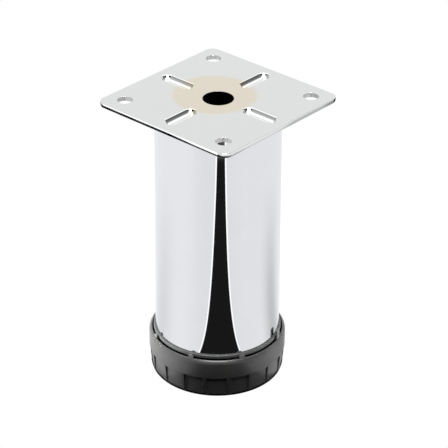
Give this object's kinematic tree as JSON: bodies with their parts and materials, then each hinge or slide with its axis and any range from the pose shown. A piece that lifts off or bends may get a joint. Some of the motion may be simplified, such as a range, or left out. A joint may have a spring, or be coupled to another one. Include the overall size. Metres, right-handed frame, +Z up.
{
  "type": "adjustable cabinet leg",
  "caption": "Round chromed cabinet leg with a square screw-on plate and a plastic foot that screws in and out to level the cabinet.",
  "frame": {"origin": "centre of the foot's base, on the floor, with the foot screwed fully in", "axes": "+Z up along the tube, X and Y along the sides of the square plate"},
  "size_m": [0.055, 0.055, 0.1],
  "materials": {
    "plate_chrome": "bright chrome plate, with a thin straw-coloured zone round the centre hole",
    "tube_chrome": "mirror chrome plate",
    "insert_plastic": "moulded, satin",
    "nut_steel": "zinc plated",
    "screw_steel": "zinc plated",
    "foot_plastic": "moulded, fine satin grain"
  },
  "bodies": {
    "leg": {"mounting_plate": "plate_chrome", "leg_tube": "tube_chrome", "tube_insert": "insert_plastic", "captive_nut": "nut_steel"},
    "screw": {"adjusting_screw": "screw_steel"},
    "foot": {"levelling_foot": "foot_plastic"}
  },
  "joints": [
    {"name": "foot_rise", "type": "slide", "parent": "leg", "child": "screw", "axis": [0, 0, -1], "range_m": [0, 0.012]},
    {"name": "foot_turn", "type": "hinge", "parent": "screw", "child": "foot", "pos_m": [0, 0, 0.01], "axis": [0, 0, -1], "range_deg": [0, 2880]}
  ],
  "couplings": [
    {"joint": "foot_rise", "follows": "foot_turn", "m_per_rad": 0.00023873}
  ]
}
